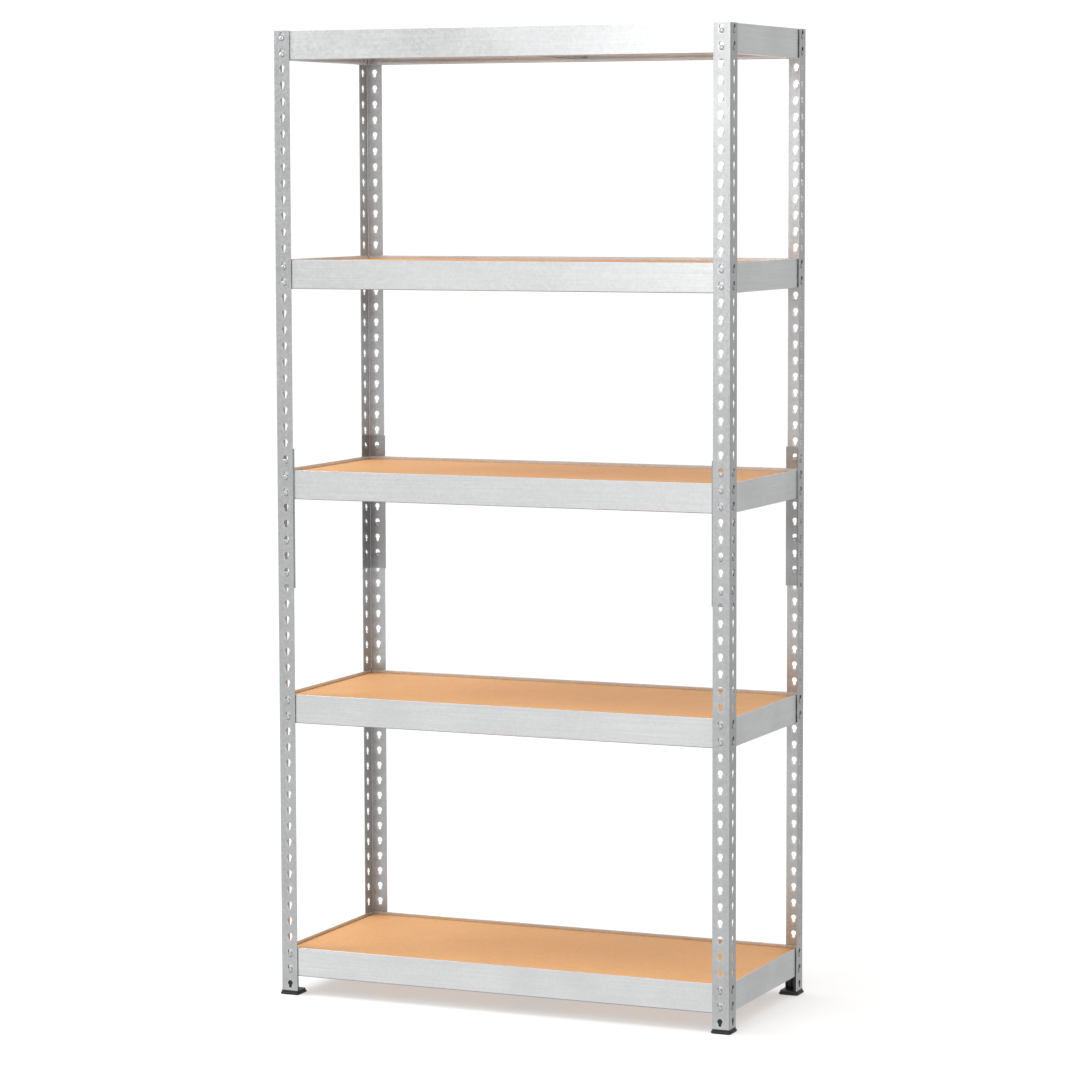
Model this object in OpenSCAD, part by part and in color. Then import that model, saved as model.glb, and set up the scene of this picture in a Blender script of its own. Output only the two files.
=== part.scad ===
// Five-level boltless steel shelving unit with keyhole posts and loose wood-fibre boards.
// Millimetres. The origin is on the floor under the middle of the unit.
// +X runs along the width, the front faces -Y, and +Z is up.

/* [Overall] */
// Width over the outer faces of the posts
unit_w = 900; // [700:10:1200]
// Depth over the outer faces of the posts
unit_d = 390; // [300:10:600]
// Height of one post half; two halves make a post
half_h = 900; // [900:30:1050]

/* [Levels] */
// Height of the rim of the bottom shelf
level_1_h = 90; // [90:30:240]
// Height of the rim of the second shelf
level_2_h = 570; // [330:30:660]
// Height of the rim of the third shelf
level_3_h = 990; // [960:30:1020]
// Height of the rim of the fourth shelf
level_4_h = 1380; // [1140:30:1500]

/* [Posts] */
// Width of each flange of the slotted angle
flange_w = 33; // [30:1:40]
// Sheet thickness of the posts
post_t = 1.2; // [0.8:0.1:2]
// Outer radius of the bend in the posts
bend_r = 2.5; // [2:0.5:4]
// Diameter of the wide end of a keyhole
key_d = 10; // [9:0.5:11]
// Width of the narrow end of a keyhole
neck_w = 6; // [5.5:0.5:7]
// Height of the wide end above the narrow end
key_rise = 6.5; // [6:0.5:7]

/* [Splices] */
// Length of the inner angle that joins two post halves
splice_h = 260; // [140:10:300]
// Sheet thickness of the splice
splice_t = 1.2; // [0.8:0.1:1.2]
// How far the splice shows past the free edges of the post
splice_show = 2.4; // [0:0.2:3]

/* [Beams] */
// Height of every beam
beam_h = 54; // [50:1:60]
// Sheet thickness of the beams
beam_t = 1; // [0.8:0.1:1.2]
// Outer radius of the folds in the beams
fold_r = 2; // [1.5:0.1:2]
// Play between a beam and the inner face of a post
beam_play = 1.4; // [1.3:0.1:2]
// Width of the ledge that carries the board
ledge_w = 22; // [16:1:26]
// Depth of the lip that hangs from the ledge
lip_h = 9; // [6:1:12]
// Width of the folded flange along the bottom of a beam
foot_fold_w = 12; // [8:1:14]
// Height of the upturned lip of the bottom flange
foot_fold_h = 6; // [4:1:8]
// Length of the flat tab at each end of a beam
tab_l = 27; // [24:1:34]

/* [Boards] */
// Thickness of a board
board_t = 8; // [6:1:9]
// Depth of the board's top face below the rim
board_drop = 6; // [4:1:8]
// Gap between a board and the rim around it
board_gap = 1; // [0.6:0.2:2]

/* [Centre supports] */
// Width of the channel under the middle of each board
support_w = 26; // [20:1:40]
// Sheet thickness of the channel
support_t = 1.2; // [0.8:0.1:2]

/* [Feet] */
// Height of the base of a foot, under the steel
foot_base_h = 8; // [6:1:12]
// Height of the legs that grip the inside of the post
foot_leg_h = 28; // [20:1:36]
// Overhang of the bottom of the base past the post
foot_over = 3; // [2:0.5:4]
// Thickness of the legs
foot_leg_t = 3; // [2:0.5:4]

/* [Rivets] */
// Diameter of a rivet's shank
shank_d = 5.4; // [5:0.1:5.4]
// Diameter of a rivet's outer head
head_d = 9.2; // [8.4:0.2:9.6]
// Thickness of a rivet's outer head
head_t = 2; // [1.5:0.1:2.5]
// Width of the bevel round a rivet's outer head
head_bevel = 1; // [0.5:0.1:1.2]
// Depth of the upper rivet below the rim
rivet_drop = 14; // [12:1:16]

/* [Hidden] */
$fn = 48;
pitch = 30;
unit_h = 2 * half_h;
LEVELS = [level_1_h, level_2_h, level_3_h, level_4_h, unit_h];
KEYS_PER_HALF = half_h / pitch;
SPLICE_KEYS = [1, 3, 8];
key_z0 = pitch - rivet_drop;
key_x = 18;
rivet_pitch = pitch;
beam_set = post_t + beam_play;
inner_head_d = 8;
inner_head_t = 1;
hole_play = 0.1;
corner_gap = 0.6;
foot_play = 0.2;
foot_step_over = 1;
web_reach = 0.6;
web_set = 1;
cut = 1;
rest_gap = 0.3;
ledge_top = beam_h - board_drop - board_t - rest_gap;
splice_fw = flange_w - post_t + splice_show;
splice_z0 = half_h - splice_h / 2;
long_l = unit_w - 2 * (beam_set + beam_t + corner_gap);
side_l = unit_d - 2 * beam_set;
board_w = unit_w - 2 * (beam_set + 2 * beam_t + board_gap);
board_d = unit_d - 2 * (beam_set + 2 * beam_t + board_gap);
steel = [0.79, 0.80, 0.81];
bright_steel = [0.70, 0.71, 0.72];
fibreboard = [0.89, 0.71, 0.52];
black_plastic = [0.10, 0.10, 0.11];

// Places its children at one corner. The children are drawn for a corner at the
// origin whose flanges run along +X and +Y; sx and sy are -1 or 1.
module at_corner(sx, sy) {
  translate([sx * unit_w / 2, sy * unit_d / 2, 0])
    mirror([sx > 0 ? 1 : 0, 0, 0])
      mirror([0, sy > 0 ? 1 : 0, 0])
        children();
}

// Quarter of a ring of outer radius r and thickness t, in the quadrant where x and y
// are both negative.
module quarter_ring(r, t) {
  difference() {
    circle(r);
    circle(r - t);
    translate([0, -r - cut])
      square([r + cut, 2 * r + 2 * cut]);
    translate([-r - cut, 0])
      square([2 * r + 2 * cut, r + cut]);
  }
}

// Flat section of a folded angle: two flanges and a bend of outer radius r.
module angle_section(w, t, r) {
  translate([r, 0])
    square([w - r, t]);
  translate([0, r])
    square([t, w - r]);
  translate([r, r])
    quarter_ring(r, t);
}

// Outline of one keyhole; the narrow end, where a rivet rests, is at the origin.
module keyhole() {
  circle(d = neck_w);
  translate([-neck_w / 2, 0])
    square([neck_w, key_rise]);
  translate([0, key_rise])
    circle(d = key_d);
}

// Keyhole cutters through both flanges of an angle at the corner, at each height in zs.
module keyhole_cutters(zs, depth) {
  for (z = zs) {
    translate([key_x, depth, z])
      rotate([90, 0, 0])
        linear_extrude(depth + cut)
          keyhole();
    translate([-cut, key_x, z])
      rotate([90, 0, 90])
        linear_extrude(depth + cut)
          keyhole();
  }
}

// One half of a post. first is the height of its lower end and last of its upper end.
module post_half(first, last) {
  zs = [for (k = [0 : 2 * KEYS_PER_HALF - 1])
    let (z = key_z0 + k * pitch)
    if (z > first + neck_w / 2 && z < last - key_rise) z];
  color(steel)
    difference() {
      translate([0, 0, first])
        linear_extrude(last - first)
          angle_section(flange_w, post_t, bend_r);
      keyhole_cutters(zs, post_t + cut);
    }
}

module post_lower(sx, sy) {
  at_corner(sx, sy)
    post_half(foot_base_h, half_h);
}

module post_upper(sx, sy) {
  at_corner(sx, sy)
    post_half(half_h, unit_h);
}

// Inner angle that holds the two halves of a post in line.
module splice(sx, sy) {
  zs = [for (k = [0 : 2 * KEYS_PER_HALF - 1])
    let (z = key_z0 + k * pitch)
    if (z > splice_z0 + neck_w && z < splice_z0 + splice_h - key_rise - key_d) z];
  color(bright_steel)
    at_corner(sx, sy)
      difference() {
        translate([post_t, post_t, splice_z0])
          linear_extrude(splice_h)
            angle_section(splice_fw, splice_t, bend_r - post_t + splice_t);
        keyhole_cutters(zs, post_t + splice_t + cut);
      }
}

// Folded section of a beam. X points into the unit and Y points up. The sheet runs
// from the upturned lip along the bottom flange, up the web, over the rim, down to
// the ledge and round into the hanging lip.
module beam_section() {
  leaf_z = ledge_top - beam_t + fold_r;
  ledge_x = beam_t + fold_r;
  translate([foot_fold_w - beam_t, fold_r])
    square([beam_t, foot_fold_h - fold_r]);
  translate([foot_fold_w - fold_r, fold_r])
    rotate(90)
      quarter_ring(fold_r, beam_t);
  translate([fold_r, 0])
    square([foot_fold_w - 2 * fold_r, beam_t]);
  translate([fold_r, fold_r])
    quarter_ring(fold_r, beam_t);
  translate([0, fold_r])
    square([beam_t, beam_h - beam_t - fold_r]);
  translate([beam_t, beam_h - beam_t])
    circle(beam_t);
  translate([beam_t, leaf_z])
    square([beam_t, beam_h - beam_t - leaf_z]);
  translate([ledge_x, leaf_z])
    quarter_ring(fold_r, beam_t);
  translate([ledge_x, ledge_top - beam_t])
    square([ledge_w - fold_r - ledge_x, beam_t]);
  translate([ledge_w - fold_r, ledge_top - fold_r])
    rotate(180)
      quarter_ring(fold_r, beam_t);
  translate([ledge_w - beam_t, ledge_top - lip_h])
    square([beam_t, lip_h - fold_r]);
}

// A beam of length l along +X, centred, with its outer face at y = 0 and its
// inner side towards +Y. The folds stop short of each end and leave a flat tab.
module beam(l, rivet_x) {
  color(steel)
    difference() {
      union() {
        translate([-l / 2 + tab_l, 0, 0])
          rotate([90, 0, 90])
            linear_extrude(l - 2 * tab_l)
              beam_section();
        for (s = [-1, 1])
          translate([s * (l - tab_l) / 2 - tab_l / 2, 0, 0])
            cube([tab_l, beam_t, beam_h - beam_t]);
      }
      for (s = [-1, 1], k = [0, 1])
        translate([s * rivet_x, -cut, beam_h - rivet_drop - k * rivet_pitch])
          rotate([-90, 0, 0])
            cylinder(d = shank_d + hole_play, h = beam_t + 2 * cut);
    }
}

module front_beam(i) {
  translate([0, -unit_d / 2 + beam_set, LEVELS[i - 1] - beam_h])
    beam(long_l, unit_w / 2 - key_x);
}

module rear_beam(i) {
  rotate([0, 0, 180])
    front_beam(i);
}

module left_beam(i) {
  translate([-unit_w / 2 + beam_set, 0, LEVELS[i - 1] - beam_h])
    rotate([0, 0, -90])
      beam(side_l, unit_d / 2 - key_x);
}

module right_beam(i) {
  rotate([0, 0, 180])
    left_beam(i);
}

// A rivet through a beam or splice and a post. It starts at the post's outer face,
// at the origin, and points along +Y into the unit; grip is the length of the shank.
module rivet(grip) {
  translate([0, -head_t, 0])
    rotate([-90, 0, 0])
      cylinder(d1 = head_d - 2 * head_bevel, d2 = head_d, h = head_bevel);
  translate([0, -head_t + head_bevel, 0])
    rotate([-90, 0, 0])
      cylinder(d = head_d, h = head_t - head_bevel);
  rotate([-90, 0, 0])
    cylinder(d = shank_d, h = grip);
  translate([0, grip, 0])
    rotate([-90, 0, 0])
      cylinder(d = inner_head_d, h = inner_head_t);
}

// Rivets in both flanges of all four posts at each height in zs.
module corner_rivets(zs, grip) {
  color(bright_steel)
    for (sx = [-1, 1], sy = [-1, 1], z = zs)
      at_corner(sx, sy) {
        translate([key_x, 0, z])
          rivet(grip);
        translate([0, key_x, z])
          rotate([0, 0, -90])
            rivet(grip);
      }
}

module beam_rivets(i) {
  z = LEVELS[i - 1] - rivet_drop;
  corner_rivets([z, z - rivet_pitch], beam_set + beam_t);
}

// The splices have rivets of their own, clear of the beams of the third shelf. Each is
// counted in keyholes above the last keyhole below the splice.
module splice_rivets() {
  z = key_z0 + floor(splice_z0 / pitch) * pitch;
  corner_rivets([for (k = SPLICE_KEYS) z + k * pitch], post_t + splice_t);
}

// Channel under the middle of a board. It stands on the upturned lips of the front
// and rear beams, and its ends pass below their ledges.
module centre_support(i) {
  reach = unit_d / 2 - beam_set - 2 * beam_t - corner_gap;
  notch = ledge_w + corner_gap;
  top_z = ledge_top;
  end_z = ledge_top - lip_h - corner_gap;
  color(steel)
    translate([0, 0, LEVELS[i - 1] - beam_h])
      difference() {
        translate([-support_w / 2, -reach, foot_fold_h])
          cube([support_w, 2 * reach, top_z - foot_fold_h]);
        translate([-support_w / 2 + support_t, -reach - cut, foot_fold_h - cut])
          cube([support_w - 2 * support_t, 2 * reach + 2 * cut, top_z - foot_fold_h - support_t + cut]);
        for (s = [-1, 1])
          translate([-support_w / 2 - cut, s * reach - notch, end_z])
            cube([support_w + 2 * cut, 2 * notch, beam_h]);
      }
}

// Loose board that drops in from above and rests on the ledges.
module board(i) {
  color(fibreboard)
    translate([-board_w / 2, -board_d / 2, LEVELS[i - 1] - board_drop - board_t])
      cube([board_w, board_d, board_t]);
}

// Outline of a foot's base: a square with round corners that reaches past the
// flanges by over on every side.
module foot_outline(over) {
  size = flange_w + 2 * over;
  r = bend_r + over;
  translate([-over, -over]) {
    translate([r, 0])
      square([size - 2 * r, size]);
    translate([0, r])
      square([size, size - 2 * r]);
    for (x = [r, size - r], y = [r, size - r])
      translate([x, y])
        circle(r);
  }
}

// Moulded foot: a stepped base under the steel, and legs inside the angle.
module foot(sx, sy) {
  in = post_t + foot_play;
  leg = flange_w - in;
  web_in = in + web_set;
  web_out = in + leg * web_reach;
  color(black_plastic)
    at_corner(sx, sy) {
      linear_extrude(foot_base_h / 2)
        foot_outline(foot_over);
      translate([0, 0, foot_base_h / 2])
        linear_extrude(foot_base_h / 2)
          foot_outline(foot_step_over);
      translate([in, in, foot_base_h])
        cube([leg, foot_leg_t, foot_leg_h]);
      translate([in, in, foot_base_h])
        cube([foot_leg_t, leg, foot_leg_h]);
      translate([0, 0, foot_base_h])
        linear_extrude(foot_leg_h * web_reach)
          polygon([[web_in, web_in], [web_out, web_in], [web_in, web_out]]);
    }
}

post_lower(-1, -1);  // post_front_left_lower
post_upper(-1, -1);  // post_front_left_upper
post_lower(1, -1);  // post_front_right_lower
post_upper(1, -1);  // post_front_right_upper
post_lower(-1, 1);  // post_rear_left_lower
post_upper(-1, 1);  // post_rear_left_upper
post_lower(1, 1);  // post_rear_right_lower
post_upper(1, 1);  // post_rear_right_upper
splice(-1, -1);  // splice_front_left
splice(1, -1);  // splice_front_right
splice(-1, 1);  // splice_rear_left
splice(1, 1);  // splice_rear_right
splice_rivets();
foot(-1, -1);  // foot_front_left
foot(1, -1);  // foot_front_right
foot(-1, 1);  // foot_rear_left
foot(1, 1);  // foot_rear_right
front_beam(1);  // front_beam_1
front_beam(2);  // front_beam_2
front_beam(3);  // front_beam_3
front_beam(4);  // front_beam_4
front_beam(5);  // front_beam_5
rear_beam(1);  // rear_beam_1
rear_beam(2);  // rear_beam_2
rear_beam(3);  // rear_beam_3
rear_beam(4);  // rear_beam_4
rear_beam(5);  // rear_beam_5
left_beam(1);  // left_beam_1
left_beam(2);  // left_beam_2
left_beam(3);  // left_beam_3
left_beam(4);  // left_beam_4
left_beam(5);  // left_beam_5
right_beam(1);  // right_beam_1
right_beam(2);  // right_beam_2
right_beam(3);  // right_beam_3
right_beam(4);  // right_beam_4
right_beam(5);  // right_beam_5
centre_support(1);  // centre_support_1
centre_support(2);  // centre_support_2
centre_support(3);  // centre_support_3
centre_support(4);  // centre_support_4
centre_support(5);  // centre_support_5
beam_rivets(1);  // beam_rivets_1
beam_rivets(2);  // beam_rivets_2
beam_rivets(3);  // beam_rivets_3
beam_rivets(4);  // beam_rivets_4
beam_rivets(5);  // beam_rivets_5
board(1);  // board_1
board(2);  // board_2
board(3);  // board_3
board(4);  // board_4
board(5);  // board_5
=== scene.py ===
"""Looks for the boltless steel shelving: materials, boards, rivets, feet, light and camera.

Lengths are in metres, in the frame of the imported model: +X to the right, the front faces -Y, +Z up.
"""
import math
import random

import bmesh
import bpy
from mathutils import Matrix, Vector


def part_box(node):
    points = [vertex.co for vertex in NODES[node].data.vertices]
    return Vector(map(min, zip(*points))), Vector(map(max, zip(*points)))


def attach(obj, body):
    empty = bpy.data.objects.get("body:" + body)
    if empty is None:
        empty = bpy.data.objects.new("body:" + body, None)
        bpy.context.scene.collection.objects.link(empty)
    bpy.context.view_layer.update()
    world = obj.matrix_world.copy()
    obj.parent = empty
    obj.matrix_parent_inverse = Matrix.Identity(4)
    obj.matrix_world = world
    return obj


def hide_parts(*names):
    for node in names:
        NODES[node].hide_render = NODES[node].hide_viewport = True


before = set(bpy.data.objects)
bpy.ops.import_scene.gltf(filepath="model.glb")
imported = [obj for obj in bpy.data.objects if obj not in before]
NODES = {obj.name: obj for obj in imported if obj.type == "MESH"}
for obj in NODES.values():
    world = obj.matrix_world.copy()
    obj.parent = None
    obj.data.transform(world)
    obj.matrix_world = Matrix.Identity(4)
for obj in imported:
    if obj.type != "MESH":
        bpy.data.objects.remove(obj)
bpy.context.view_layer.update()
LEVELS = range(1, 6)

# The sides of X and Y that each corner post stands on.
CORNERS = {"front_left": (-1, -1), "rear_left": (-1, 1), "front_right": (1, -1), "rear_right": (1, 1)}

# Half the width and depth over the posts.
_, post_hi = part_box("post_rear_right_upper")
HALF_W = post_hi.x
HALF_D = post_hi.y

# Keyholes in the post flanges: their spacing, the height of the lowest one, how far they are from
# the outer corner, and the rise and radius of the slot.
KEY_PITCH = 0.030
KEY_Z0 = 0.016
KEY_INSET = 0.018
KEY_RISE = 0.0065
KEY_R = 0.0030

# Rivets: head, shank and formed tail, and the thickness of steel that each kind holds together.
RIVET_R = 0.0046
RIVET_CROWN = 0.0006
SHANK_R = 0.0027
TAIL_R = 0.004
TAIL_T = 0.001
BEAM_GRIP = 0.0036
SPLICE_GRIP = 0.0024


# ---------------------------------------------------------------- node helpers

class Shader:
    """A principled material and short calls that add nodes to it."""

    def __init__(self, name):
        self.material = bpy.data.materials.new(name)
        self.material.use_nodes = True
        self.tree = self.material.node_tree
        self.bsdf = self.tree.nodes["Principled BSDF"]
        self.coords = self.tree.nodes.new("ShaderNodeTexCoord").outputs["Object"]

    def node(self, kind, **settings):
        made = self.tree.nodes.new(kind)
        for key, value in settings.items():
            setattr(made, key, value)
        return made

    def link(self, source, target):
        self.tree.links.new(source, target)

    def stretched(self, scale, coords=None):
        """Coordinates times scale, one factor for each axis."""
        mapping = self.node("ShaderNodeMapping")
        self.link(coords or self.coords, mapping.inputs["Vector"])
        mapping.inputs["Scale"].default_value = scale
        return mapping.outputs["Vector"]

    def curled(self, scale, amount):
        """Object coordinates pushed about by a soft noise, by up to amount on each axis."""
        noise = self.node("ShaderNodeTexNoise")
        self.link(self.coords, noise.inputs["Vector"])
        noise.inputs["Scale"].default_value = scale
        push = self.node("ShaderNodeVectorMath", operation="MULTIPLY_ADD")
        self.link(noise.outputs["Color"], push.inputs[0])
        push.inputs[1].default_value = (amount,) * 3
        self.link(self.coords, push.inputs[2])
        return push.outputs["Vector"]

    def axes(self):
        """X, Y and Z of the object coordinates."""
        split = self.node("ShaderNodeSeparateXYZ")
        self.link(self.coords, split.inputs["Vector"])
        return split.outputs["X"], split.outputs["Y"], split.outputs["Z"]

    def noise(self, scale, detail=3.0, roughness=0.55, coords=None):
        made = self.node("ShaderNodeTexNoise")
        self.link(coords or self.coords, made.inputs["Vector"])
        made.inputs["Scale"].default_value = scale
        made.inputs["Detail"].default_value = detail
        made.inputs["Roughness"].default_value = roughness
        return made.outputs["Fac"]

    def cells(self, scale, coords=None):
        """A random tone for each cell of a Voronoi pattern."""
        made = self.node("ShaderNodeTexVoronoi", feature="F1")
        self.link(coords or self.coords, made.inputs["Vector"])
        made.inputs["Scale"].default_value = scale
        return made.outputs["Color"]

    def remap(self, value, low, high, to_low, to_high):
        """Takes value from low..high to to_low..to_high, clamped."""
        made = self.node("ShaderNodeMapRange")
        self.link(value, made.inputs["Value"])
        for name, number in zip(("From Min", "From Max", "To Min", "To Max"),
                                (low, high, to_low, to_high)):
            made.inputs[name].default_value = number
        return made.outputs["Result"]

    def math(self, operation, a, b=None):
        """One step of arithmetic; a and b are numbers or sockets."""
        made = self.node("ShaderNodeMath", operation=operation)
        for socket, value in zip(made.inputs, (a, b)):
            if value is None:
                continue
            if isinstance(value, (int, float)):
                socket.default_value = value
            else:
                self.link(value, socket)
        return made.outputs["Value"]

    def mix(self, factor, a, b, blend="MIX"):
        """Mixes two colours; a and b are colours or sockets."""
        made = self.node("ShaderNodeMix", data_type="RGBA", blend_type=blend)
        sockets = [s for s in made.inputs if s.type == "RGBA"]
        if isinstance(factor, (int, float)):
            made.inputs["Factor"].default_value = factor
        else:
            self.link(factor, made.inputs["Factor"])
        for socket, value in zip(sockets, (a, b)):
            if isinstance(value, (tuple, list)):
                socket.default_value = (*value[:3], 1.0)
            else:
                self.link(value, socket)
        return next(s for s in made.outputs if s.type == "RGBA")

    def ramp(self, value, first, last):
        """Colour ramp from first to last."""
        made = self.node("ShaderNodeValToRGB")
        self.link(value, made.inputs["Fac"])
        for element, colour in zip(made.color_ramp.elements, (first, last)):
            element.color = (*colour, 1.0)
        return made.outputs["Color"]

    def bump(self, height, strength, distance, under=None):
        made = self.node("ShaderNodeBump")
        made.inputs["Strength"].default_value = strength
        made.inputs["Distance"].default_value = distance
        self.link(height, made.inputs["Height"])
        if under is not None:
            self.link(under, made.inputs["Normal"])
        return made.outputs["Normal"]

    def finish(self, colour, roughness, normal, metallic=0.0):
        self.link(colour, self.bsdf.inputs["Base Color"])
        self.link(roughness, self.bsdf.inputs["Roughness"])
        self.link(normal, self.bsdf.inputs["Normal"])
        self.bsdf.inputs["Metallic"].default_value = metallic
        return self.material


def shade(colour, factor):
    return tuple(min(1.0, c * factor) for c in colour)


def tinted(colour, red, green, blue):
    return colour[0] * red, colour[1] * green, colour[2] * blue


# ------------------------------------------------------------------- materials

CRYSTAL_SIZE = 0.0045
RIM_WIDTH = 0.0042
SCRATCH_SCALE_ALONG = 3.0
SCRATCH_SCALE_ACROSS = 900.0
FULL_WHITE = (1.0, 1.0, 1.0)
WOOD_FLECK = (0.26, 0.12, 0.05)


def keyhole_rims(s):
    """1 at the punched edge of every keyhole, falling to 0 a little way out over the flange."""
    x, y, z = s.axes()
    turn = s.math("ADD", s.math("SUBTRACT", z, KEY_Z0), KEY_PITCH / 2)
    height = s.math("SUBTRACT", s.math("FLOORED_MODULO", turn, KEY_PITCH), KEY_PITCH / 2)
    nearest = s.math("MINIMUM", s.math("MAXIMUM", height, 0.0), KEY_RISE)
    over = s.math("SUBTRACT", height, nearest)
    rims = []
    for axis, edge in ((x, HALF_W), (y, HALF_D)):
        from_edge = s.math("SUBTRACT", edge, s.math("ABSOLUTE", axis))
        aside = s.math("SUBTRACT", from_edge, KEY_INSET)
        squares = s.math("ADD", s.math("MULTIPLY", aside, aside), s.math("MULTIPLY", over, over))
        away = s.math("SQRT", squares)
        rims.append(s.remap(away, KEY_R, KEY_R + RIM_WIDTH, 1.0, 0.0))
    return s.math("MAXIMUM", *rims)


def galvanised(name, base, grain_scale, roughness, spangle, punched=False):
    """Zinc-coated sheet: fine crystals, streaks along the rolled length, scratches and soft smudges.

    grain_scale is small on the axis that the sheet was rolled along.
    """
    s = Shader(name)
    cells = s.cells(1 / CRYSTAL_SIZE)
    crystals = s.remap(cells, 0.0, 1.0, 1 - spangle, 1 + spangle)
    streaks = s.noise(1.0, 4.0, 0.6, s.stretched(grain_scale))
    smudges = s.noise(7.0, 3.0, 0.5)
    rolled = min(grain_scale)
    scratch_scale = tuple(SCRATCH_SCALE_ALONG if scale == rolled else SCRATCH_SCALE_ACROSS
                          for scale in grain_scale)
    scratches = s.noise(1.0, 2.0, 0.5, s.stretched(scratch_scale, s.curled(3.0, 0.02)))

    colour = s.mix(s.remap(streaks, 0.3, 0.7, 0.0, 1.0), shade(base, 0.93), shade(base, 1.05))
    colour = s.mix(s.remap(smudges, 0.35, 0.7, 0.0, 0.55), colour, shade(base, 0.88))
    crystal_tones = s.ramp(cells, shade(FULL_WHITE, 1 - spangle), FULL_WHITE)
    colour = s.mix(1.0, colour, crystal_tones, "MULTIPLY")
    colour = s.mix(s.remap(scratches, 0.68, 0.74, 0.0, 0.5), colour, shade(base, 1.22))

    rough = s.math("ADD", s.remap(smudges, 0.3, 0.7, roughness - 0.05, roughness + 0.09),
                   s.remap(crystals, 1 - spangle, 1 + spangle, -0.035, 0.035))
    surface = s.bump(streaks, 0.10, 0.0004)
    surface = s.bump(s.noise(900.0, 2.0), 0.08, 0.0003, surface)
    surface = s.bump(crystals, 0.10, 0.0003, surface)
    if punched:
        rims = keyhole_rims(s)
        colour = s.mix(s.math("MULTIPLY", rims, 0.45), colour, shade(base, 1.25))
        rough = s.math("SUBTRACT", rough, s.math("MULTIPLY", rims, 0.08))
        rolled_in = s.math("SUBTRACT", 1.0, s.math("MULTIPLY", rims, rims))
        surface = s.bump(rolled_in, 0.5, 0.0004, surface)
    return s.finish(colour, rough, surface, 1.0)


def zinc_rivet(name, base):
    """Plated rivet heads with fine pitting and scuffs."""
    s = Shader(name)
    scuffs = s.noise(420.0, 4.0, 0.65)
    colour = s.mix(s.remap(scuffs, 0.35, 0.7, 0.0, 1.0), shade(base, 0.78), base)
    rough = s.remap(scuffs, 0.3, 0.7, 0.26, 0.46)
    return s.finish(colour, rough, s.bump(s.noise(1500.0), 0.12, 0.0002), 1.0)


def pressed_fibre(name, base, sawn=False):
    """Pressed wood fibre: flat chips and matted strands, brown flecks and a slow change of tone.

    A sawn edge also shows its pressed layers, and is rougher.
    """
    s = Shader(name)
    loose = s.curled(70.0, 0.006)
    chips_x = s.cells(1.0, s.stretched((120.0, 430.0, 300.0), loose))
    chips_y = s.cells(1.0, s.stretched((460.0, 150.0, 300.0), loose))
    strands_x = s.noise(1.0, 5.0, 0.7, s.stretched((90.0, 760.0, 300.0), loose))
    strands_y = s.noise(1.0, 5.0, 0.7, s.stretched((700.0, 110.0, 300.0), loose))
    flecks = s.noise(1.0, 4.0, 0.7, s.stretched((150.0, 420.0, 300.0), loose))
    clouds = s.noise(6.0, 4.0, 0.6)
    pale_chip = tinted(base, 1.08, 1.22, 1.5)
    pale_strand = tinted(base, 1.05, 1.25, 1.7)

    tone = s.mix(s.remap(clouds, 0.3, 0.7, 0.0, 1.0), shade(base, 0.94), shade(base, 1.05))
    tone = s.mix(s.remap(chips_x, 0.15, 0.85, 0.0, 0.34), tone, shade(base, 0.80))
    tone = s.mix(s.remap(chips_y, 0.30, 0.90, 0.0, 0.34), tone, pale_chip)
    tone = s.mix(s.remap(strands_x, 0.40, 0.70, 0.0, 0.42), tone, shade(base, 0.66))
    tone = s.mix(s.remap(strands_y, 0.48, 0.72, 0.0, 0.42), tone, pale_strand)
    tone = s.mix(s.remap(flecks, 0.66, 0.72, 0.0, 0.6), tone, WOOD_FLECK)
    if sawn:
        layers = s.noise(1.0, 3.0, 0.6, s.stretched((60.0, 60.0, 1600.0)))
        tone = s.mix(s.remap(layers, 0.35, 0.7, 0.1, 0.6), tone, shade(base, 0.55))
    rough = s.remap(strands_x, 0.3, 0.7, 0.60, 0.78)
    height = s.math("ADD", strands_x, strands_y)
    relief = 0.5 if sawn else 0.25
    return s.finish(tone, rough, s.bump(height, relief, 0.0005))


def moulded_plastic(name, base):
    """Black moulded plastic with a fine spark-eroded texture and light scuffing."""
    s = Shader(name)
    grain = s.noise(1400.0, 2.0, 0.6)
    scuffs = s.noise(90.0, 5.0, 0.7)
    colour = s.mix(s.remap(scuffs, 0.5, 0.75, 0.0, 0.6), base, shade(base, 2.6))
    rough = s.remap(scuffs, 0.3, 0.7, 0.42, 0.6)
    return s.finish(colour, rough, s.bump(grain, 0.25, 0.0003))


def floor_paint(name):
    """Matt pale paint that glows a little, so that the floor fades into the backdrop."""
    s = Shader(name)
    soft = s.noise(1.6, 2.0)
    colour = s.mix(s.remap(soft, 0.3, 0.7, 0.0, 1.0), (0.60, 0.60, 0.60), (0.62, 0.62, 0.62))
    s.bsdf.inputs["Emission Color"].default_value = (*FULL_WHITE, 1.0)
    s.bsdf.inputs["Emission Strength"].default_value = 0.45
    s.bsdf.inputs["Specular IOR Level"].default_value = 0.0
    rough = s.remap(soft, 0.3, 0.7, 0.85, 0.95)
    return s.finish(colour, rough, s.bump(s.noise(300.0), 0.02, 0.0005))


POST_ZINC = (0.55, 0.555, 0.56)
BEAM_ZINC = (0.75, 0.755, 0.76)
SPLICE_ZINC = (0.40, 0.405, 0.41)
BOARD_TAN = (0.84, 0.43, 0.16)
ALONG_X = (6.0, 300.0, 420.0)
ALONG_Y = (300.0, 6.0, 420.0)
ALONG_Z = (420.0, 420.0, 7.0)

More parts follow.
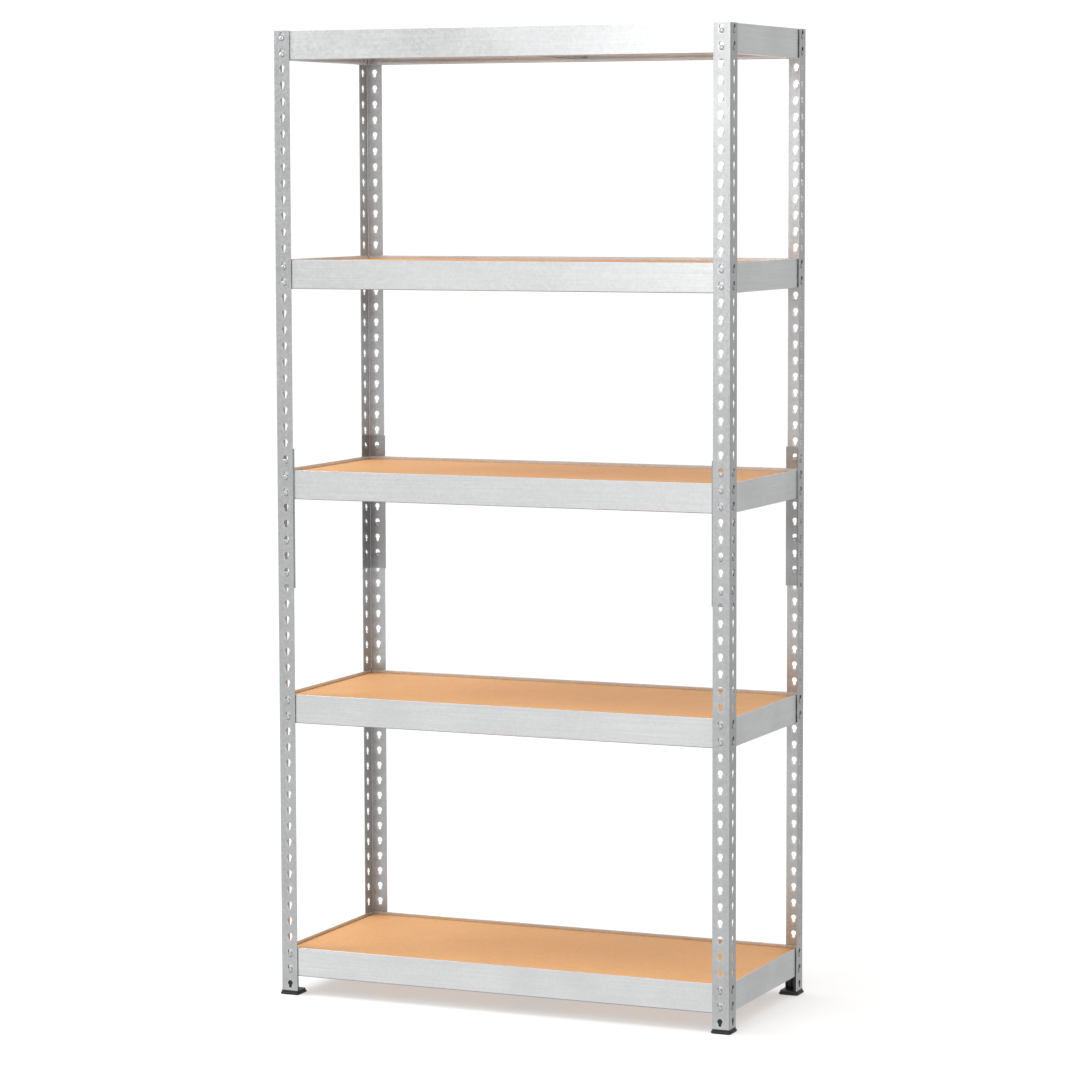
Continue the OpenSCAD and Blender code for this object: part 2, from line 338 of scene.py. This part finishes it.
POST_STEEL = galvanised("galvanised_post", POST_ZINC, ALONG_Z, 0.35, 0.16, punched=True)
LONG_BEAM_STEEL = galvanised("galvanised_long_beam", BEAM_ZINC, ALONG_X, 0.34, 0.08)
SIDE_BEAM_STEEL = galvanised("galvanised_side_beam", BEAM_ZINC, ALONG_Y, 0.36, 0.08)
SPLICE_STEEL = galvanised("splice_steel", SPLICE_ZINC, ALONG_Z, 0.34, 0.16)
RIVET_ZINC = zinc_rivet("rivet_zinc", POST_ZINC)
FIBREBOARD = pressed_fibre("fibreboard", BOARD_TAN)
SAWN_EDGE = pressed_fibre("fibreboard_edge", BOARD_TAN, sawn=True)
BLACK_PLASTIC = moulded_plastic("black_plastic", (0.012, 0.012, 0.013))

CAD_MATERIALS = {
    ("post_",): POST_STEEL,
    ("splice_",): SPLICE_STEEL,
    ("front_beam", "rear_beam"): LONG_BEAM_STEEL,
    ("left_beam", "right_beam", "centre_support"): SIDE_BEAM_STEEL,
}
for starts, material in CAD_MATERIALS.items():
    for name, node in NODES.items():
        if name.startswith(starts):
            for slot in node.material_slots:
                slot.material = material


# ---------------------------------------------------------------------- pieces

BOARD_CELLS_X = 60
BOARD_CELLS_Y = 26
BOARD_EASE = 0.0009
SAW_ROUGHNESS = 0.0002
BOARD_SEED = 100
ON_EDGE = 1e-6


def object_from(mesh_builder, name, material):
    """Turns a bmesh into a linked object with one material."""
    mesh = bpy.data.meshes.new(name)
    mesh_builder.to_mesh(mesh)
    mesh_builder.free()
    mesh.materials.append(material)
    made = bpy.data.objects.new(name, mesh)
    bpy.context.scene.collection.objects.link(made)
    return made


def stands_for(piece, body, node):
    """Rides a piece on its body in place of a CAD node, and hides the node."""
    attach(piece, body)
    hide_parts(node)


def board_slab(i):
    """A board with eased edges and rough-sawn sides."""
    lo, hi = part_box(f"board_{i}")
    centre = (lo + hi) / 2
    build = bmesh.new()
    rng = random.Random(BOARD_SEED + i)

    def sheet(z):
        """A grid of points over the board, drawn in from its sides by the easing."""
        size = hi - lo
        return [[build.verts.new((lo.x + BOARD_EASE + a / BOARD_CELLS_X * (size.x - 2 * BOARD_EASE),
                                  lo.y + BOARD_EASE + b / BOARD_CELLS_Y * (size.y - 2 * BOARD_EASE),
                                  z))
                 for b in range(BOARD_CELLS_Y + 1)] for a in range(BOARD_CELLS_X + 1)]

    top = sheet(hi.z)
    bottom = sheet(lo.z)
    for grid, faces_up in ((top, True), (bottom, False)):
        for a in range(BOARD_CELLS_X):
            for b in range(BOARD_CELLS_Y):
                corners = [grid[a][b], grid[a + 1][b], grid[a + 1][b + 1], grid[a][b + 1]]
                build.faces.new(corners if faces_up else corners[::-1])

    def rim(grid):
        """The outer points of a grid, once round."""
        front = [grid[a][0] for a in range(BOARD_CELLS_X + 1)]
        right = [grid[BOARD_CELLS_X][b] for b in range(1, BOARD_CELLS_Y + 1)]
        back = [grid[a][BOARD_CELLS_Y] for a in range(BOARD_CELLS_X - 1, -1, -1)]
        left = [grid[0][b] for b in range(BOARD_CELLS_Y - 1, 0, -1)]
        return front + right + back + left

    def side_ring(z, roughness):
        """Points once round the sides at height z, each a random hair inside the true side."""
        ring = []
        for v in rim(top):
            out = Vector((v.co.x, v.co.y, z))
            for axis in (0, 1):
                half = hi[axis] - centre[axis]
                offset = out[axis] - centre[axis]
                if abs(abs(offset) - (half - BOARD_EASE)) < ON_EDGE:
                    reach = half - rng.random() * roughness
                    out[axis] = centre[axis] + math.copysign(reach, offset)
            ring.append(build.verts.new(out))
        return ring

    rings = [rim(top),
             side_ring(hi.z - BOARD_EASE, SAW_ROUGHNESS / 2),
             side_ring(centre.z, SAW_ROUGHNESS),
             side_ring(lo.z + BOARD_EASE, SAW_ROUGHNESS / 2),
             rim(bottom)]
    for upper, lower in zip(rings, rings[1:]):
        count = len(upper)
        for k in range(count):
            n = (k + 1) % count
            build.faces.new([upper[k], lower[k], lower[n], upper[n]]).material_index = 1
    bmesh.ops.recalc_face_normals(build, faces=build.faces)
    slab = object_from(build, f"board_slab_{i}", FIBREBOARD)
    slab.data.materials.append(SAWN_EDGE)
    stands_for(slab, f"board_{i}", f"board_{i}")


def lathe(build, profile, to_world, segments=28):
    """Spins a profile of (radius, height) pairs about +Z and places it. Its ends have radius 0."""
    rings = []
    for radius, height in profile:
        if radius == 0:
            rings.append([build.verts.new(to_world @ Vector((0, 0, height)))])
            continue
        turns = [2 * math.pi * k / segments for k in range(segments)]
        rings.append([build.verts.new(to_world @ Vector((radius * math.cos(turn),
                                                         radius * math.sin(turn), height)))
                      for turn in turns])
    for first, second in zip(rings, rings[1:]):
        for k in range(segments):
            n = (k + 1) % segments
            if len(first) == 1:
                face = [first[0], second[k], second[n]]
            elif len(second) == 1:
                face = [first[k], second[0], first[n]]
            else:
                face = [first[k], second[k], second[n], first[n]]
            build.faces.new(face).smooth = True


def rivet_profile(head_t, grip, dome_steps=7):
    """Domed head, shank and flat formed tail of a rivet. Zero is the outer face it sits on."""
    profile = [(0.0, head_t)]
    for k in range(1, dome_steps + 1):
        a = math.pi / 2 * k / dome_steps
        profile.append((RIVET_R * math.sin(a), RIVET_CROWN + (head_t - RIVET_CROWN) * math.cos(a)))
    return profile + [(RIVET_R, 0.0), (SHANK_R, 0.0), (SHANK_R, -grip), (TAIL_R, -grip),
                      (TAIL_R, -grip - TAIL_T * 0.6), (TAIL_R * 0.86, -grip - TAIL_T),
                      (TAIL_R * 0.3, -grip - TAIL_T), (0.0, -grip - TAIL_T * 0.7)]


def rivet_group(node, name, heights, grip):
    """Domed rivets at the same places as the plain ones of a CAD group."""
    _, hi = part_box(node)
    build = bmesh.new()
    profile = rivet_profile(hi.x - HALF_W, grip)
    for sx, sy in CORNERS.values():
        for z in heights:
            front = Matrix.Translation((sx * (HALF_W - KEY_INSET), sy * HALF_D, z))
            lathe(build, profile, front @ Matrix.Rotation(-sy * math.pi / 2, 4, "X"))
            side = Matrix.Translation((sx * HALF_W, sy * (HALF_D - KEY_INSET), z))
            lathe(build, profile, side @ Matrix.Rotation(sx * math.pi / 2, 4, "Y"))
    bmesh.ops.recalc_face_normals(build, faces=build.faces)
    stands_for(object_from(build, name, RIVET_ZINC), "frame", node)


def rounded_square(side, radius, arc=6):
    """Corner-rounded square about its own centre, counter-clockwise, as (x, y) points."""
    points = []
    reach = side / 2 - radius
    for quarter, (cx, cy) in enumerate(((1, 1), (-1, 1), (-1, -1), (1, -1))):
        for k in range(arc + 1):
            a = math.pi / 2 * (quarter + k / arc)
            points.append((cx * reach + radius * math.cos(a), cy * reach + radius * math.sin(a)))
    return points


def loft(build, outlines):
    """Joins outlines of equal length, each a list of 3-D points, and caps both ends."""
    rings = [[build.verts.new(p) for p in outline] for outline in outlines]
    for lower, upper in zip(rings, rings[1:]):
        count = len(lower)
        for k in range(count):
            n = (k + 1) % count
            build.faces.new([lower[k], lower[n], upper[n], upper[k]])
    build.faces.new(rings[0][::-1])
    build.faces.new(rings[-1])


def bevelled_prism(build, outline, z0, z1, ease):
    """Upright prism over an outline of (x, y) points, its top edge drawn in by ease."""
    cx = sum(p[0] for p in outline) / len(outline)
    cy = sum(p[1] for p in outline) / len(outline)

    def at(z, inset):
        ring = []
        for x, y in outline:
            away = math.hypot(x - cx, y - cy)
            keep = (away - inset) / away
            ring.append((cx + (x - cx) * keep, cy + (y - cy) * keep, z))
        return ring
    loft(build, [at(z0, 0), at(z1 - ease, 0), at(z1, ease)])


# Moulded foot: a flange on the floor, a narrower step on it, and legs, web and ribs inside the post.
FLANGE_Z = 0.004
STEP_Z = 0.008
FOOT_CORNER_R = 0.0055
LEG_PLAY = 0.0014
LEG_T = 0.003
LEG_EASE = 0.0006
RIB_HALF_T = 0.0009
RIB_REACH = 0.0022
RIB_PLACES = (0.30, 0.62, 0.94)
SUNK = 0.0002


def foot_pad(corner, sx, sy):
    """Moulded foot: a stepped base with eased edges, two legs, a web and ribs inside the angle."""
    node = f"foot_{corner}"
    lo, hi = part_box(node)
    middle = (lo + hi) / 2
    side = hi.x - lo.x
    over = max(abs(hi.x), abs(lo.x)) - HALF_W
    step = side - 2 * over * 2 / 3
    r = FOOT_CORNER_R
    build = bmesh.new()

    # Width, corner radius and height of each ring of the base, from the floor up.
    rings = [(side - 0.0030, r - 0.0015, 0.0),
             (side - 0.0008, r - 0.0004, 0.0007),
             (side, r, 0.0016),
             (side, r, FLANGE_Z - 0.0006),
             (side - 0.0010, r - 0.0005, FLANGE_Z),
             (step + 0.0004, r - 0.0015, FLANGE_Z + 0.0001),
             (step, r - 0.0018, FLANGE_Z + 0.0006),
             (step, r - 0.0018, STEP_Z - 0.0004),
             (step - 0.0008, r - 0.0022, STEP_Z)]
    loft(build, [[(middle.x + x, middle.y + y, z) for x, y in rounded_square(width, radius)]
                 for width, radius, z in rings])

    def inside(points):
        """Points measured inwards from the outer corner of the steel."""
        return [(sx * (HALF_W - u), sy * (HALF_D - v)) for u, v in points]

    def raised(points, z1, ease):
        bevelled_prism(build, inside(points), STEP_Z - SUNK, z1, ease)

    a = LEG_PLAY
    b = LEG_PLAY + LEG_T
    reach = side - 2 * over - LEG_PLAY
    end = LEG_PLAY + reach
    raised([(a, a), (end, a), (end, b), (b, b), (b, end), (a, end)], hi.z, LEG_EASE)

    root = LEG_PLAY + LEG_T * 0.9
    web = LEG_PLAY + reach * 0.62
    raised([(root, root), (web, root), (root, web)], STEP_Z + (hi.z - STEP_Z) * 0.6, LEG_EASE)

    root = LEG_PLAY + LEG_T * 0.8
    tip = LEG_PLAY + LEG_T + RIB_REACH
    for place in RIB_PLACES:
        near = LEG_PLAY + reach * place - RIB_HALF_T
        far = LEG_PLAY + reach * place + RIB_HALF_T
        raised([(near, root), (far, root), (far, tip), (near, tip)], hi.z - 0.003, LEG_EASE / 2)
        raised([(root, near), (tip, near), (tip, far), (root, far)], hi.z - 0.003, LEG_EASE / 2)
    bmesh.ops.recalc_face_normals(build, faces=build.faces)
    stands_for(object_from(build, f"moulded_{node}", BLACK_PLASTIC), "frame", node)


for i in LEVELS:
    board_slab(i)
    low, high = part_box(f"beam_rivets_{i}")
    rivet_group(f"beam_rivets_{i}", f"domed_rivets_{i}", (low.z + RIVET_R, high.z - RIVET_R), BEAM_GRIP)
low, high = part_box("splice_rivets")
lowest = low.z + RIVET_R
rivet_group("splice_rivets", "domed_splice_rivets",
            (lowest, lowest + 2 * KEY_PITCH, high.z - RIVET_R), SPLICE_GRIP)
for corner, (sx, sy) in CORNERS.items():
    foot_pad(corner, sx, sy)


# ------------------------------------------------------------ camera and light

# Angles are in degrees and the lens in millimetres. Distance and aside are measured level from the
# near corner of the unit, along the camera's aim and to its left.
CAMERA = {"azimuth": 23.53, "pitch": 5.47, "roll": -0.17, "distance": 6.786, "aside": 0.3364,
          "height": 1.5416, "lens": 128.42}

# Each soft light: where it stands, what it faces, its width and height, and its power in watts.
LIGHTS = {
    "key": ((-0.06, -2.8, 2.05), (0.4, -0.2, 1.6), (0.4, 1.0), 10),
    "top": ((-0.4, -0.8, 3.6), (0.0, 0.0, 0.4), (2.4, 1.8), 8),
    "high_left": ((-2.1, -0.8, 2.4), (0.0, 0.0, 0.6), (1.2, 1.4), 28),
}

# The studio's white, and its dimmer sides: the direction of each, how closely one has to look that
# way for it to begin and to be complete, as cosines, and what is left of the white there.
WORLD_STRENGTH = 1.10
DIMMER_SIDES = {
    "right": ((0.90, 0.42, 0.0), 0.22, 0.85, 0.54),
    "front_left": ((-0.66, -0.75, 0.22), 0.88, 1.0, 0.48),
    "below": ((0.0, 0.0, -1.0), 0.45, 0.92, 0.12),
}
FLOOR_RADIUS = 150


def add_camera():
    """Stands in front of the unit, to the right, at the height of the upper shelves."""
    azimuth = math.radians(CAMERA["azimuth"])
    pitch = math.radians(CAMERA["pitch"])
    roll = math.radians(CAMERA["roll"])
    forward = Vector((-math.sin(azimuth), math.cos(azimuth), 0))
    right = Vector((math.cos(azimuth), math.sin(azimuth), 0))
    near_corner = Vector((HALF_W, -HALF_D, 0))
    place = near_corner - forward * CAMERA["distance"] - right * CAMERA["aside"]
    place.z = CAMERA["height"]
    look = forward * math.cos(pitch) - Vector((0, 0, 1)) * math.sin(pitch)
    up = right.cross(look)
    right_rolled = right * math.cos(roll) + up * math.sin(roll)
    up_rolled = up * math.cos(roll) - right * math.sin(roll)
    data = bpy.data.cameras.new("camera")
    data.lens = CAMERA["lens"]
    data.clip_end = 100
    camera = bpy.data.objects.new("camera", data)
    axes = Matrix((right_rolled, up_rolled, -look)).transposed()
    camera.matrix_world = Matrix.Translation(place) @ axes.to_4x4()
    bpy.context.scene.collection.objects.link(camera)
    bpy.context.scene.camera = camera


def add_light(name, place, target, size, power):
    data = bpy.data.lights.new(name, "AREA")
    data.shape = "RECTANGLE"
    data.size, data.size_y = size
    data.energy = power
    light = bpy.data.objects.new(name, data)
    light.location = place
    light.rotation_euler = (Vector(target) - Vector(place)).to_track_quat("-Z", "Y").to_euler()
    light.visible_camera = False
    bpy.context.scene.collection.objects.link(light)


def add_world():
    """White studio with some dimmer sides, which give the steel its shading."""
    world = bpy.data.worlds.new("studio")
    world.use_nodes = True
    tree = world.node_tree
    direction = tree.nodes.new("ShaderNodeTexCoord").outputs["Generated"]

    def dimmed(towards, start, full, least):
        """A factor that falls from 1 to least as the direction turns towards a side."""
        dot = tree.nodes.new("ShaderNodeVectorMath")
        dot.operation = "DOT_PRODUCT"
        tree.links.new(direction, dot.inputs[0])
        dot.inputs[1].default_value = Vector(towards).normalized()
        fall = tree.nodes.new("ShaderNodeMapRange")
        fall.interpolation_type = "SMOOTHSTEP"
        tree.links.new(dot.outputs["Value"], fall.inputs["Value"])
        for name, number in zip(("From Min", "From Max", "To Min", "To Max"),
                                (start, full, 1.0, least)):
            fall.inputs[name].default_value = number
        return fall.outputs["Result"]

    strength = None
    for side in DIMMER_SIDES.values():
        product = tree.nodes.new("ShaderNodeMath")
        product.operation = "MULTIPLY"
        product.inputs[0].default_value = WORLD_STRENGTH
        if strength is not None:
            tree.links.new(strength, product.inputs[0])
        tree.links.new(dimmed(*side), product.inputs[1])
        strength = product.outputs["Value"]
    background = tree.nodes["Background"]
    background.inputs["Color"].default_value = (*FULL_WHITE, 1.0)
    tree.links.new(strength, background.inputs["Strength"])
    bpy.context.scene.world = world


def add_floor():
    """Pale lit floor. It takes shadows and shows to the camera, but throws no light back up."""
    build = bmesh.new()
    bmesh.ops.create_circle(build, cap_ends=True, segments=96, radius=FLOOR_RADIUS)
    floor = object_from(build, "floor", floor_paint("floor_paint"))
    floor.visible_diffuse = False
    floor.visible_glossy = False


add_camera()
add_world()
add_floor()
for name, facts in LIGHTS.items():
    add_light(name, *facts)
bpy.context.scene.view_settings.view_transform = "Standard"
